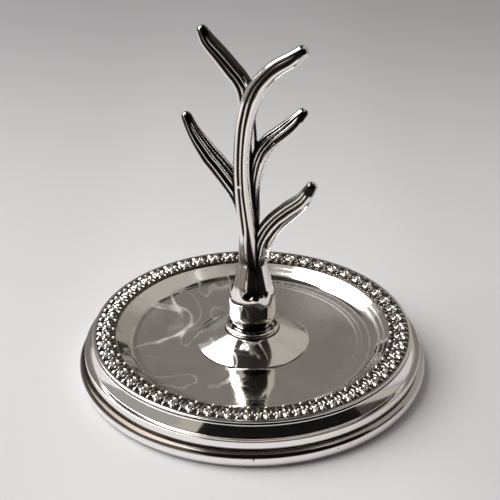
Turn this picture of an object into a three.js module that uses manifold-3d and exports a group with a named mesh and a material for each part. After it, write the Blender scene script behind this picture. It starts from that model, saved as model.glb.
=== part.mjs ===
// A silver ring tree: a spun dish on a rolled foot, with a cast border round its rim
// and a small bare tree of five reeded arms in the middle. Millimetres, +Z up, the origin
// on the table under the middle of the foot. The viewer of the front stands towards -Y.
import * as THREE from "three";
import { mergeVertices } from "three/addons/utils/BufferGeometryUtils.js";
import Module from "manifold-3d";

// Room left between two pieces that are soldered or rest against each other.
const seatGap = 0.3;
const fineSeatGap = 0.1;

// The base: the foot rests on the table, the skirt stands on the foot, the dish lies on top.
const footDiameter = 90;
const footRollRadius = 2.1;
const footWall = 0.7;
const footCurlDegrees = 106;
const skirtSetIn = 1.4;
const skirtRollRadius = 1.0;
const skirtLipHeight = 0.4;
const skirtLipDepth = 0.5;
const quirkDepth = 0.7;
const hollowDepth = 1.3;
const sheetWall = 0.7;
const skirtShelfWidth = 2.2;
const rimWireProud = 0.15;

// The dish inside the border.
const borderOverhang = 0.55;
const borderFaceHeight = 10.8;
const borderWidth = 5.9;
const borderPlate = 0.5;
const borderMarginWidth = 0.7;
const dishDepth = 3.8;
const dishSlopeWidth = 4.0;
const bossDiameter = 30;
const bossHeight = 3.9;
const bossLanding = 0.4;

// The border's relief, one motif repeated round the ring.
const motifCount = 54;
const pipRelief = 0.55;
const leafRelief = 0.5;
const tabRelief = 0.35;
const scallopDepth = 0.35;

// The tree's seat: a collar on the boss, the swollen root above it, and a stud through both.
const collarDiameter = 13.8;
const collarTopDiameter = 11.9;
const collarHeight = 1.9;
const knopDiameter = 12.3;
const knopHeight = 18.6;
const knopNeckDiameter = 7;
const knopFluteDepth = 0.35;
const studDiameter = 3;
const studEngagement = 8;
const boreClearance = 0.25;
const washerDiameter = 9;
const washerThickness = 0.6;
const nutAcrossFlats = 5.5;
const nutThickness = 2.2;
const studTail = 0.9;

// The loading that weights the base, the board that closes it and the cloth under it.
const baizeThickness = 0.8;
const boardThickness = 2;
const boardFit = 0.4;
const fillingShoulderInset = 1.6;
const nutPocketDiameter = 13;

// The arms: how far each tip lies out, forward or back, and above the root's neck, and how
// thick the arm is at its thickest.
const reedDepthShare = 0.2;
const reedFadeLength = 5;
const tipRounding = 1.3;
const upperRightReach = 11.3;
const upperRightForward = 5;
const upperRightRise = 55.6;
const upperRightThickness = 4.7;
const upperLeftReach = 11.7;
const upperLeftBack = 5.9;
const upperLeftRise = 57.1;
const upperLeftThickness = 4.8;
const middleLeftReach = 15.8;
const middleLeftBack = 4;
const middleLeftRise = 36.3;
const middleLeftThickness = 5.3;
const middleRightReach = 12.1;
const middleRightBack = 5.2;
const middleRightRise = 36.5;
const middleRightThickness = 4.9;
const lowerRightReach = 14.1;
const lowerRightForward = 6.6;
const lowerRightRise = 22.5;
const lowerRightThickness = 5.5;

// How finely round shapes are cut into flat faces.
const wideRingSides = 60;
const innerRingSides = 36;
const nutSides = 6;

// Angles in degrees, turned into radians.
const radians = (degrees) => (degrees * Math.PI) / 180;

// Heights and radii that follow from the sizes above.
const footRadius = footDiameter / 2;
const footRollCentre = footRadius - footRollRadius;
const footTop = 2 * footRollRadius;
const footInnerEdge = footRollCentre + footRollRadius * Math.cos(radians(footCurlDegrees));
const skirtBottom = footTop + fineSeatGap;
const skirtRollWidest = footRadius - skirtSetIn;
const skirtRollCentre = skirtRollWidest - skirtRollRadius;
const skirtRollMiddle = skirtBottom + skirtLipHeight + skirtRollRadius;
const skirtRollTop = skirtRollMiddle + skirtRollRadius;
const quirkRadius = skirtRollCentre - quirkDepth;
const waistRadius = quirkRadius - hollowDepth;
const borderBottom = borderFaceHeight - borderPlate;
const borderOuter = waistRadius + borderOverhang;
const borderInner = borderOuter - borderWidth;
const dishFlangeTop = borderBottom - fineSeatGap;
const waistTop = dishFlangeTop - sheetWall - fineSeatGap;
const rimWireDiameter = borderBottom - waistTop - fineSeatGap;
const rimWireCentre = borderOuter + rimWireProud - rimWireDiameter / 2;
const dishFlangeOuter = rimWireCentre - rimWireDiameter / 2 - fineSeatGap;
const dishFloor = borderFaceHeight - dishDepth;
const dishFloorOuter = borderInner - dishSlopeWidth;
const bossTop = dishFloor + bossHeight;
const bossRadius = bossDiameter / 2;
const bossTopRadius = collarDiameter / 2 + bossLanding;
const boreRadius = studDiameter / 2 + boreClearance;
const collarTop = bossTop + collarHeight;
const knopTop = collarTop + knopHeight;
const rimWireMiddle = (waistTop + borderBottom) / 2;

const wasm = await Module();
wasm.setup();

// A closed mesh as a solid that can be joined or cut.
function solidOf(geometry) {
  const bare = geometry.clone();
  bare.deleteAttribute("normal");
  bare.deleteAttribute("uv");
  const merged = mergeVertices(bare);
  const vertProperties = new Float32Array(merged.attributes.position.array);
  const triVerts = new Uint32Array(merged.index.array);
  return new wasm.Manifold(new wasm.Mesh({ numProp: 3, vertProperties, triVerts }));
}

// The largest body of a solid, as a mesh geometry.
function geometryOf(solid) {
  const bodies = solid.decompose().sort((a, b) => b.volume() - a.volume());
  const mesh = bodies[0].getMesh();
  const geometry = new THREE.BufferGeometry();
  const positions = new Float32Array(mesh.vertProperties);
  geometry.setAttribute("position", new THREE.BufferAttribute(positions, mesh.numProp));
  geometry.setIndex(new THREE.BufferAttribute(new Uint32Array(mesh.triVerts), 1));
  return geometry;
}

// A ring or disc turned about the upright axis from a closed outline of [radius, height].
function turned(outline, sides) {
  const points = outline.map(([radius, height]) => new THREE.Vector2(radius, height));
  points.push(points[0].clone());
  const lathe = new THREE.LatheGeometry(points, sides);
  lathe.rotateX(Math.PI / 2);
  return facingOut(lathe);
}

// The same mesh with its faces turned out, if they point in.
function facingOut(geometry) {
  const bare = geometry.clone();
  bare.deleteAttribute("normal");
  bare.deleteAttribute("uv");
  const merged = mergeVertices(bare);
  const position = merged.attributes.position;
  const index = merged.index.array;
  const corners = [new THREE.Vector3(), new THREE.Vector3(), new THREE.Vector3()];
  const kept = [];
  let volume = 0;
  for (let i = 0; i < index.length; i += 3) {
    const ids = [index[i], index[i + 1], index[i + 2]];
    if (ids[0] === ids[1] || ids[1] === ids[2] || ids[0] === ids[2]) continue;
    corners.forEach((corner, k) => corner.fromBufferAttribute(position, ids[k]));
    volume += corners[0].dot(corners[1].cross(corners[2]));
    kept.push(...ids);
  }
  if (volume < 0) {
    for (let i = 0; i < kept.length; i += 3) [kept[i], kept[i + 1]] = [kept[i + 1], kept[i]];
  }
  merged.setIndex(kept);
  return merged;
}

// A closed skin over a row of rings that have the same number of points, with both ends shut.
function skinned(rings, startPole, endPole) {
  const count = rings[0].length;
  const positions = [];
  rings.flat().forEach((point) => positions.push(point.x, point.y, point.z));
  const start = rings.length * count;
  positions.push(startPole.x, startPole.y, startPole.z, endPole.x, endPole.y, endPole.z);
  const index = [];
  for (let side = 0; side < count; side += 1) {
    const next = (side + 1) % count;
    for (let row = 0; row + 1 < rings.length; row += 1) {
      const here = row * count;
      const above = here + count;
      index.push(here + side, here + next, above + next, here + side, above + next, above + side);
    }
    const last = start - count;
    index.push(start, next, side, start + 1, last + side, last + next);
  }
  const geometry = new THREE.BufferGeometry();
  geometry.setAttribute("position", new THREE.Float32BufferAttribute(positions, 3));
  geometry.setIndex(index);
  return facingOut(geometry);
}

// Points of an arc in an outline, from one angle to another, as [radius, height].
function arc(centreRadius, centreHeight, radius, fromDegrees, toDegrees, steps) {
  return Array.from({ length: steps + 1 }, (_, step) => {
    const angle = radians(fromDegrees + ((toDegrees - fromDegrees) * step) / steps);
    return [centreRadius + radius * Math.cos(angle), centreHeight + radius * Math.sin(angle)];
  });
}

// The rolled foot: a band of sheet curled out and under, open on its inner side.
function footRing() {
  const curl = footCurlDegrees;
  const outer = arc(footRollCentre, footRollRadius, footRollRadius, curl, -curl, 8);
  const inner = arc(footRollCentre, footRollRadius, footRollRadius - footWall, -curl, curl, 4);
  return turned([...outer, ...inner], wideRingSides);
}

// The skirt: a lip on the foot, a half-round roll, a quirk and a hollow rise to the rim.
function skirt() {
  const lipOuter = skirtRollWidest - skirtLipDepth;
  const hollowRise = waistTop - skirtRollTop;
  const hollow = [0, 0.3, 0.62, 1].map((riseShare) => {
    const inwardShare = Math.sqrt(1 - (1 - riseShare) ** 2);
    const radius = quirkRadius + (waistRadius - quirkRadius) * inwardShare;
    return [radius, skirtRollTop + hollowRise * riseShare];
  });
  const shelfInner = waistRadius - skirtShelfWidth;
  const outer = [
    [lipOuter, skirtBottom],
    [lipOuter, skirtBottom + skirtLipHeight / 2],
    ...arc(skirtRollCentre, skirtRollMiddle, skirtRollRadius, -50, 100, 5),
    ...hollow,
    [shelfInner, waistTop],
    [shelfInner, waistTop - sheetWall],
  ];
  const inner = [
    [waistRadius - sheetWall, waistTop - sheetWall],
    [waistRadius - sheetWall, skirtRollTop + hollowRise / 2],
    [quirkRadius - sheetWall, skirtRollMiddle],
    [quirkRadius - sheetWall, skirtBottom],
  ];
  return turned([...outer, ...inner], wideRingSides);
}

// The bright wire soldered under the border's edge.
function rimWire() {
  return turned(arc(rimWireCentre, rimWireMiddle, rimWireDiameter / 2, 0, 300, 5), wideRingSides);
}

// The dish: a boss in the middle, a flat floor, a hollow slope and a flange under the border.
function dish() {
  const slopeTop = [borderInner, dishFlangeTop];
  const slope = [0.35, 0.7].map((share) => {
    const riseShare = 1 - Math.sqrt(1 - share ** 2);
    return [dishFloorOuter + dishSlopeWidth * share, dishFloor + (dishFlangeTop - dishFloor) * riseShare];
  });
  const bossSide = [0.3, 0.65].map((share) => {
    const riseShare = 1 - (1 - share) ** 1.2;
    return [bossRadius + (bossTopRadius - bossRadius) * share, dishFloor + bossHeight * riseShare];
  });
  const face = [
    [dishFlangeOuter, dishFlangeTop],
    slopeTop,
    ...slope.reverse(),
    [dishFloorOuter, dishFloor],
    [bossRadius, dishFloor],
    ...bossSide,
    [bossTopRadius, bossTop],
    [boreRadius, bossTop],
  ];
  const back = face.map(([radius, height]) => [radius, height - sheetWall]).reverse();
  return turned([...face, ...back], wideRingSides);
}

// One motif, column by column: where its inner edge is cut back, and for six places across its
// width how far out the place lies and how high the relief stands there.
const motifColumnShares = [
  { scallop: 1, across: [0, 0.14, 0.28, 0.46, 0.68, 0.86], relief: [0, 0.1, 0.2, 0.05, 0.1, 0] },
  { scallop: 0.3, across: [0, 0.12, 0.26, 0.46, 0.68, 0.84], relief: [0, 0.9, 0.4, 0.7, 0.2, 0] },
  { scallop: 0, across: [0, 0.12, 0.26, 0.46, 0.7, 0.9], relief: [0, 0.2, 0.5, 1, 1, 0] },
  { scallop: 0.3, across: [0, 0.12, 0.26, 0.46, 0.68, 0.84], relief: [0, 0.9, 0.4, 0.7, 0.2, 0] },
];

// The border: a cast strip of pips, arches and leaves on a thin plate, with a plain margin.
function galleryBorder() {
  const reliefWidth = borderWidth - borderMarginWidth;
  const reliefs = [0, tabRelief, tabRelief, pipRelief, leafRelief, 0];
  const columns = motifCount * motifColumnShares.length;
  const rows = Array.from({ length: columns }, (_, column) => {
    const motif = motifColumnShares[column % motifColumnShares.length];
    const angle = (2 * Math.PI * column) / columns;
    const scallop = scallopDepth * motif.scallop;
    const place = (radius, height) => [radius, height, angle];
    const face = motif.relief.map((reliefShare, step) => {
      const radius = borderInner + scallop + (reliefWidth - scallop) * motif.across[step];
      return place(radius, borderFaceHeight + reliefs[step] * reliefShare);
    });
    return [
      place(borderInner, borderBottom),
      ...face,
      place(borderOuter - borderMarginWidth, borderFaceHeight),
      place(borderOuter, borderFaceHeight - borderPlate / 3),
      place(borderOuter, borderBottom),
    ];
  });
  const across = rows[0].length;
  const positions = rows.flat().flatMap(([radius, height, angle]) => (
    [radius * Math.cos(angle), radius * Math.sin(angle), height]
  ));
  const index = [];
  for (let column = 0; column < columns; column += 1) {
    const beside = (column + 1) % columns;
    for (let step = 0; step < across; step += 1) {
      const after = (step + 1) % across;
      const corners = [column * across + step, column * across + after];
      const far = [beside * across + step, beside * across + after];
      index.push(corners[0], far[0], far[1], corners[0], far[1], corners[1]);
    }
  }
  const geometry = new THREE.BufferGeometry();
  geometry.setAttribute("position", new THREE.Float32BufferAttribute(positions, 3));
  geometry.setIndex(index);
  return facingOut(geometry);
}

// The collar: a flared ring between the boss and the tree's root.
function collar() {
  const foot = collarDiameter / 2;
  const top = collarTopDiameter / 2;
  const bottom = bossTop + fineSeatGap;
  return turned([
    [boreRadius, bottom],
    [foot - collarHeight / 6, bottom],
    [foot, bottom + collarHeight / 6],
    [foot, bottom + collarHeight / 3],
    [foot - (foot - top) / 2, bottom + collarHeight / 2],
    [top, collarTop - collarHeight / 4],
    [top, collarTop - collarHeight / 8],
    [top - collarHeight / 8, collarTop],
    [boreRadius, collarTop],
  ], innerRingSides);
}

// Reeds run along the root and the arms in pairs of furrows; angles are from the front.
const furrowPairCount = 3;
const furrowPairTurn = 360 / furrowPairCount;
const furrowOffsets = [-25, 8];
const furrowHalfWidth = 11;

// One turn of the section: for each place its angle, and how deep the furrow is there.
function reededSection() {
  const [first, second] = furrowOffsets;
  const ridge = (first + second) / 2;
  return Array.from({ length: furrowPairCount }, (_, pair) => [
    [pair * furrowPairTurn + first - furrowHalfWidth, 0],
    [pair * furrowPairTurn + first, 1],
    [pair * furrowPairTurn + ridge, 0],
    [pair * furrowPairTurn + second, 1],
    [pair * furrowPairTurn + second + furrowHalfWidth, 0],
    [pair * furrowPairTurn + ridge + furrowPairTurn / 2, 0],
  ]).flat();
}

// The swollen root of the tree, reeded at its neck and smooth where it swells.
const knopProfileShares = [
  { rise: 0, swell: 0.83, reed: 0 },
  { rise: 0.08, swell: 0.93, reed: 0 },
  { rise: 0.25, swell: 1, reed: 0 },
  { rise: 0.36, swell: 0.94, reed: 0.1 },
  { rise: 0.5, swell: 0.64, reed: 0.5 },
  { rise: 0.64, swell: 0.37, reed: 0.9 },
  { rise: 0.82, swell: 0.14, reed: 1 },
  { rise: 1, swell: 0, reed: 1 },
];

function knopSkin(growth) {
  const neck = knopNeckDiameter / 2;
  const swell = knopDiameter / 2 - neck;
  const bottom = collarTop + fineSeatGap - growth;
  const rise = knopTop - collarTop - fineSeatGap + 2 * growth;
  const rings = knopProfileShares.map((level) => (
    reededSection().map(([degrees, furrow]) => {
      const radius = neck + swell * level.swell - knopFluteDepth * furrow * level.reed + growth;
      const angle = radians(degrees - 90);
      const height = bottom + rise * level.rise;
      return new THREE.Vector3(radius * Math.cos(angle), radius * Math.sin(angle), height);
    })
  ));
  return skinned(rings, new THREE.Vector3(0, 0, bottom), new THREE.Vector3(0, 0, bottom + rise));
}

function rootKnop() {
  const boreTop = collarTop + studEngagement + seatGap;
  const bore = turned([
    [0, collarTop - seatGap],
    [boreRadius, collarTop - seatGap],
    [boreRadius, boreTop],
    [0, boreTop],
  ], innerRingSides);
  return geometryOf(solidOf(knopSkin(0)).subtract(solidOf(bore)));
}

// Each arm's way to its tip, in shares of its reach, of its depth, of its rise above the root's
// neck and of its thickness. It starts a little way down inside the root.
const arms = [
  {
    name: "upper_right_arm",
    tip: [upperRightReach, -upperRightForward, upperRightRise],
    thickness: upperRightThickness,
    furrowTurn: 0,
    routeShares: [
      [-0.043, 0.3, -0.037, 0.97], [-0.078, 0.34, 0.064, 0.91], [-0.108, 0.36, 0.16, 0.89],
      [-0.152, 0.36, 0.249, 0.91], [-0.204, 0.36, 0.36, 0.89], [-0.225, 0.36, 0.487, 0.89],
      [-0.172, 0.36, 0.635, 0.98], [-0.068, 0.38, 0.736, 1], [0.018, 0.4, 0.79, 1],
      [0.132, 0.44, 0.836, 0.96], [0.333, 0.54, 0.887, 0.93], [0.532, 0.66, 0.925, 0.91],
      [0.783, 0.84, 0.962, 0.84], [1, 1, 1, 0.7],
    ],
  },
  {
    name: "lower_right_arm",
    tip: [lowerRightReach, -lowerRightForward, lowerRightRise],
    thickness: lowerRightThickness,
    furrowTurn: 6,
    routeShares: [
      [0.062, 0.045, -0.164, 0.8], [0.117, 0.06, 0.037, 0.95], [0.172, 0.09, 0.219, 0.98],
      [0.302, 0.182, 0.392, 1], [0.451, 0.333, 0.528, 0.94], [0.639, 0.545, 0.665, 0.9],
      [0.846, 0.818, 0.818, 0.77], [1, 1, 1, 0.6],
    ],
  },
  {
    name: "upper_left_arm",
    tip: [-upperLeftReach, upperLeftBack, upperLeftRise],
    thickness: upperLeftThickness,
    furrowTurn: -10,
    routeShares: [
      [-0.026, 0.2, -0.063, 1], [-0.034, 0.254, 0.067, 0.94], [0.017, 0.271, 0.206, 0.88],
      [0.034, 0.288, 0.32, 0.88], [0.043, 0.288, 0.445, 0.86], [0.086, 0.288, 0.592, 0.83],
      [0.13, 0.305, 0.707, 0.84], [0.161, 0.339, 0.769, 0.95], [0.259, 0.424, 0.812, 0.95],
      [0.448, 0.576, 0.857, 0.93], [0.694, 0.78, 0.915, 0.87], [0.892, 0.915, 0.96, 0.79],
      [1, 1, 1, 0.6],
    ],
  },
  {
    name: "middle_right_arm",
    tip: [middleRightReach, middleRightBack, middleRightRise],
    thickness: middleRightThickness,
    furrowTurn: 0,
    routeShares: [
      [0.024, 0.173, 0.388, 0.57], [0.041, 0.173, 0.554, 0.65], [0.107, 0.212, 0.687, 0.91],
      [0.203, 0.288, 0.771, 1], [0.364, 0.423, 0.833, 1], [0.551, 0.577, 0.875, 0.96],
      [0.785, 0.808, 0.929, 0.84], [1, 1, 1, 0.66],
    ],
  },
  {
    name: "middle_left_arm",
    tip: [-middleLeftReach, middleLeftBack, middleLeftRise],
    thickness: middleLeftThickness,
    furrowTurn: -8,
    routeShares: [
      [0.076, 0.2, 0.17, 0.71], [0.095, 0.15, 0.291, 0.83], [0.137, 0.125, 0.403, 0.96],
      [0.265, 0.175, 0.528, 1], [0.528, 0.425, 0.679, 1], [0.688, 0.6, 0.761, 0.93],
      [0.903, 0.875, 0.907, 0.66], [1, 1, 1, 0.5],
    ],
  },
];

// The skin of an arm: a reeded section carried along its way, rounded at the tip.
function armSkin(arm, growth) {
  const places = arm.routeShares.map(([x, y, z]) => (
    new THREE.Vector3(arm.tip[0] * x, arm.tip[1] * y, knopTop + arm.tip[2] * z)
  ));
  const way = new THREE.CatmullRomCurve3(places, false, "centripetal");
  const stations = arm.routeShares.length;
  const wayLength = way.getLength();
  const front = new THREE.Vector3(0, -1, 0);
  const section = reededSection();
  const ring = (centre, heading, radius, depth) => {
    const ahead = heading.clone().normalize();
    const facing = front.clone().addScaledVector(ahead, -front.dot(ahead)).normalize();
    const beside = new THREE.Vector3().crossVectors(ahead, facing);
    return section.map(([degrees, furrow]) => {
      const angle = radians(degrees + arm.furrowTurn);
      const reach = radius * (1 - depth * furrow) + growth;
      return centre.clone()
        .addScaledVector(facing, reach * Math.cos(angle))
        .addScaledVector(beside, reach * Math.sin(angle));
    });
  };
  const rings = arm.routeShares.map(([, , , widthShare], station) => {
    const along = station / (stations - 1);
    const left = wayLength * (1 - along);
    const depth = reedDepthShare * Math.min(1, left / reedFadeLength);
    return ring(way.getPoint(along), way.getTangent(along), (arm.thickness / 2) * widthShare, depth);
  });
  const heading = way.getTangent(1);
  const tipRadius = (arm.thickness / 2) * arm.routeShares.at(-1)[3];
  const end = places.at(-1);
  for (const capDegrees of [35, 65]) {
    const centre = end.clone().addScaledVector(heading, tipRounding * Math.sin(radians(capDegrees)));
    rings.push(ring(centre, heading, tipRadius * Math.cos(radians(capDegrees)), 0));
  }
  const pole = end.clone().addScaledVector(heading, tipRounding + growth);
  return skinned(rings, places[0], pole);
}

// The arms, each cut back from the root and from the arms that were soldered on before it.
function armGeometries() {
  let taken = solidOf(knopSkin(seatGap));
  return arms.map((arm) => {
    const whole = solidOf(armSkin(arm, 0));
    const geometry = geometryOf(whole.subtract(taken));
    taken = taken.add(solidOf(armSkin(arm, seatGap)));
    return { name: arm.name, geometry };
  });
}

// The stud screwed into the root, and the washer and nut that draw the tree down on the boss.
const washerTop = bossTop - sheetWall;
const nutTop = washerTop - washerThickness;
const nutBottom = nutTop - nutThickness;

function stemStud() {
  const radius = studDiameter / 2;
  const bottom = nutBottom - studTail;
  const top = collarTop + studEngagement;
  const bevel = radius / 4;
  return turned([
    [0, bottom],
    [radius - bevel, bottom],
    [radius, bottom + bevel],
    [radius, top - bevel],
    [radius - bevel, top],
    [0, top],
  ], innerRingSides / 2);
}

function studWasher() {
  return turned([
    [boreRadius, washerTop - washerThickness],
    [washerDiameter / 2, washerTop - washerThickness],
    [washerDiameter / 2, washerTop],
    [boreRadius, washerTop],
  ], innerRingSides);
}

function studNut() {
  const corner = nutAcrossFlats / 2 / Math.cos(Math.PI / nutSides);
  const outline = new THREE.Shape();
  for (let side = 0; side < nutSides; side += 1) {
    const angle = (2 * Math.PI * side) / nutSides;
    const point = [corner * Math.cos(angle), corner * Math.sin(angle)];
    if (side === 0) outline.moveTo(...point);
    else outline.lineTo(...point);
  }
  outline.closePath();
  const hole = new THREE.Path();
  hole.absarc(0, 0, boreRadius, 0, 2 * Math.PI, true);
  outline.holes.push(hole);
  const nut = new THREE.ExtrudeGeometry(outline, {
    depth: nutThickness, bevelEnabled: false, curveSegments: innerRingSides / 3,
  });
  nut.translate(0, 0, nutBottom);
  return facingOut(nut);
}

// The pitch and plaster poured under the dish, with a pocket left for the nut.
const boardTop = baizeThickness + boardThickness;
const boardRadius = footInnerEdge - boardFit;

function baseFilling() {
  const under = dishFloor - sheetWall - seatGap;
  const underBoss = bossTop - 2 * sheetWall - seatGap;
  const outer = quirkRadius - sheetWall - seatGap;
  const shoulder = waistRadius - sheetWall - fillingShoulderInset;
  const pocket = nutPocketDiameter / 2;
  return turned([
    [pocket, boardTop],
    [outer, boardTop],
    [outer, skirtBottom],
    [shoulder, skirtRollMiddle],
    [dishFloorOuter, under],
    [bossRadius, under],
    [bossTopRadius + sheetWall, underBoss],
    [pocket, underBoss],
  ], innerRingSides);
}

function baseBoard() {
  const bevel = boardThickness / 8;
  return turned([
    [0, baizeThickness],
    [boardRadius - bevel, baizeThickness],
    [boardRadius, baizeThickness + bevel],
    [boardRadius, boardTop],
    [0, boardTop],
  ], innerRingSides);
}

function baizePad() {
  return turned([
    [0, 0],
    [boardRadius, 0],
    [boardRadius, baizeThickness],
    [0, baizeThickness],
  ], innerRingSides);
}

// Polished silver, and what is under it.
const silver = { color: 0xd6d3ce, metalness: 1, roughness: 0.12 };
const oxidisedSilver = { color: 0xa9a59f, metalness: 1, roughness: 0.3 };
const brass = { color: 0xb59a5b, metalness: 1, roughness: 0.35 };
const pitch = { color: 0x3d332b, metalness: 0, roughness: 0.9 };
const beech = { color: 0x8f6a44, metalness: 0, roughness: 0.7 };
const baize = { color: 0x1f3d2c, metalness: 0, roughness: 1 };

const pieces = [
  ["foot_ring", footRing(), silver],
  ["skirt", skirt(), silver],
  ["rim_wire", rimWire(), silver],
  ["dish", dish(), silver],
  ["gallery_border", galleryBorder(), oxidisedSilver],
  ["collar", collar(), silver],
  ["root_knop", rootKnop(), silver],
  ...armGeometries().map(({ name, geometry }) => [name, geometry, oxidisedSilver]),
  ["stem_stud", stemStud(), brass],
  ["stud_washer", studWasher(), brass],
  ["stud_nut", studNut(), brass],
  ["base_filling", baseFilling(), pitch],
  ["base_board", baseBoard(), beech],
  ["baize_pad", baizePad(), baize],
];

const ringTree = new THREE.Group();
for (const [name, geometry, finish] of pieces) {
  geometry.computeVertexNormals();
  const mesh = new THREE.Mesh(geometry, new THREE.MeshStandardMaterial(finish));
  mesh.name = name;
  ringTree.add(mesh);
}

export default ringTree;
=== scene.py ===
import math

import bmesh
import bpy
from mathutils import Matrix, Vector, noise


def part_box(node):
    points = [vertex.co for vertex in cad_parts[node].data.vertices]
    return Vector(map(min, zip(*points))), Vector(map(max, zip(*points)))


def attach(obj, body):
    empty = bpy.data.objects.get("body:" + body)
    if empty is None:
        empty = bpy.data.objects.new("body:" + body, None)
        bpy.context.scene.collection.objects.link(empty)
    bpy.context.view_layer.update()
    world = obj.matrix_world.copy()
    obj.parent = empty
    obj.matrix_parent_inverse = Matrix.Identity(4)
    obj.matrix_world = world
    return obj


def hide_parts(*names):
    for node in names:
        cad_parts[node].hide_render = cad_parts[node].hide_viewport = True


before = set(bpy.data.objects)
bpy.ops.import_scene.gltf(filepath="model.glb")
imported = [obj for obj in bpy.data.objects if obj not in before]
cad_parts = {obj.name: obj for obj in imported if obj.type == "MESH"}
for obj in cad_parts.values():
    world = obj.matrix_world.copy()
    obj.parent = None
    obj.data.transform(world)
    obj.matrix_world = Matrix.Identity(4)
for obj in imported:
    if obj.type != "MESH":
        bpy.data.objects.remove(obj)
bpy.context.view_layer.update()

mm = 0.001


# The baize: a disc of green wool cloth, pasted under the base board so that the silver
# doesn't scratch the table. It is cut with shears, so its edge is a little soft.
class Wire:
    """What runs from one shader node to the next, so that sums on it add Math nodes."""

    def __init__(self, finish, socket):
        self.finish = finish
        self.socket = socket

    def maths(self, operation, *values):
        inputs = dict(enumerate(values))
        return self.finish.node("ShaderNodeMath", {"operation": operation}, inputs)

    def __add__(self, other):
        return self.maths("ADD", self, other)

    def __radd__(self, other):
        return self.maths("ADD", other, self)

    def __sub__(self, other):
        return self.maths("SUBTRACT", self, other)

    def __rsub__(self, other):
        return self.maths("SUBTRACT", other, self)

    def __mul__(self, other):
        return self.maths("MULTIPLY", self, other)

    def __rmul__(self, other):
        return self.maths("MULTIPLY", other, self)

    def __abs__(self):
        return self.maths("ABSOLUTE", self)


class Finish:
    """A surface finish made of shader nodes, ending in one shader."""

    def __init__(self, name):
        self.material = bpy.data.materials.new(name)
        self.material.use_nodes = True
        self.tree = self.material.node_tree
        self.tree.nodes.clear()
        self.place = self.node("ShaderNodeTexCoord", output="Object")

    def node(self, kind, settings=None, inputs=None, output=0):
        """Adds a node with its settings and its inputs, and gives back one of its outputs."""
        made = self.tree.nodes.new(kind)
        for name, value in (settings or {}).items():
            setattr(made, name, value)
        for name, value in (inputs or {}).items():
            if isinstance(value, Wire):
                self.tree.links.new(value.socket, made.inputs[name])
            else:
                made.inputs[name].default_value = value
        return Wire(self, made.outputs[output]) if len(made.outputs) else None

    def stretched(self, stretch):
        """The place on the piece, with each direction scaled."""
        return self.node("ShaderNodeMapping", {}, {"Vector": self.place, "Scale": stretch})

    def along(self, axis):
        """How far a spot lies from the middle along the X, Y or Z axis."""
        return self.node("ShaderNodeSeparateXYZ", {}, {"Vector": self.place}, output=axis)

    def radius(self):
        """How far a spot lies from the upright axis."""
        flat = self.node("ShaderNodeVectorMath", {"operation": "MULTIPLY"},
                         {0: self.place, 1: (1.0, 1.0, 0.0)})
        return self.node("ShaderNodeVectorMath", {"operation": "LENGTH"}, {0: flat}, output="Value")

    def grain(self, per_metre, detail=3.0, rough=0.5, place=None, warp=0.0):
        return self.node("ShaderNodeTexNoise", {}, {
            "Vector": place or self.place, "Scale": per_metre, "Detail": detail,
            "Roughness": rough, "Distortion": warp})

    def turned_lines(self, per_metre, detail):
        """Grain that runs round the upright axis, as a lathe tool leaves it."""
        return self.node("ShaderNodeTexNoise", {"noise_dimensions": "1D"}, {
            "W": self.radius(), "Scale": per_metre, "Detail": detail})

    def band(self, value, low, high, from_share=0.0, to_share=1.0):
        """A share that rises smoothly as the value goes from low to high."""
        return self.node("ShaderNodeMapRange", {"interpolation_type": "SMOOTHSTEP"}, {
            "Value": value, "From Min": low, "From Max": high,
            "To Min": from_share, "To Max": to_share})

    def mixed(self, share, first, second):
        """Two colours mixed by a share."""
        return self.node("ShaderNodeMix", {"data_type": "RGBA"}, {0: share, 6: first, 7: second},
                         output=2)

    def raised(self, height, depth, over=None):
        """The surface with a fine relief of that depth in metres."""
        inputs = {"Height": height, "Distance": depth, "Strength": 1.0}
        if over is not None:
            inputs["Normal"] = over
        return self.node("ShaderNodeBump", {}, inputs)

    def shade(self, inputs, kind="ShaderNodeBsdfPrincipled"):
        """Ends the finish in a shader, and gives back the material."""
        shader = self.node(kind, {}, inputs)
        self.node("ShaderNodeOutputMaterial", {}, {"Surface": shader})
        return self.material


def placed(name, bm, finish):
    """Makes the mesh an object of its own, in its finish."""
    mesh = bpy.data.meshes.new(name)
    bm.to_mesh(mesh)
    bm.free()
    mesh.materials.append(finish)
    made = bpy.data.objects.new(name, mesh)
    bpy.context.scene.collection.objects.link(made)
    return made


def seat(name, bm, finish, slot, *nodes):
    """Makes the finished mesh a piece that rides with the frame and stands for its nodes."""
    bmesh.ops.recalc_face_normals(bm, faces=bm.faces)
    piece = placed(name, bm, finish)
    piece.data.shade_smooth()
    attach(piece, "root")
    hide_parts(*nodes)
    return piece


def green_baize():
    felt = Finish("green_baize")
    fibres = felt.grain(4200.0, 4.0, 0.7, warp=1.5)
    clouds = felt.grain(90.0, 2.0)
    colour = felt.mixed(fibres, (0.008, 0.030, 0.015, 1.0), (0.030, 0.085, 0.046, 1.0))
    worn = felt.mixed(felt.band(clouds, 0.5, 0.75, 0.0, 0.35), colour, (0.060, 0.105, 0.070, 1.0))
    return felt.shade({
        "Base Color": worn, "Roughness": 0.95, "Sheen Weight": 0.3, "Specular IOR Level": 0.1,
        "Normal": felt.raised(fibres, 0.12 * mm)})


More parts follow.
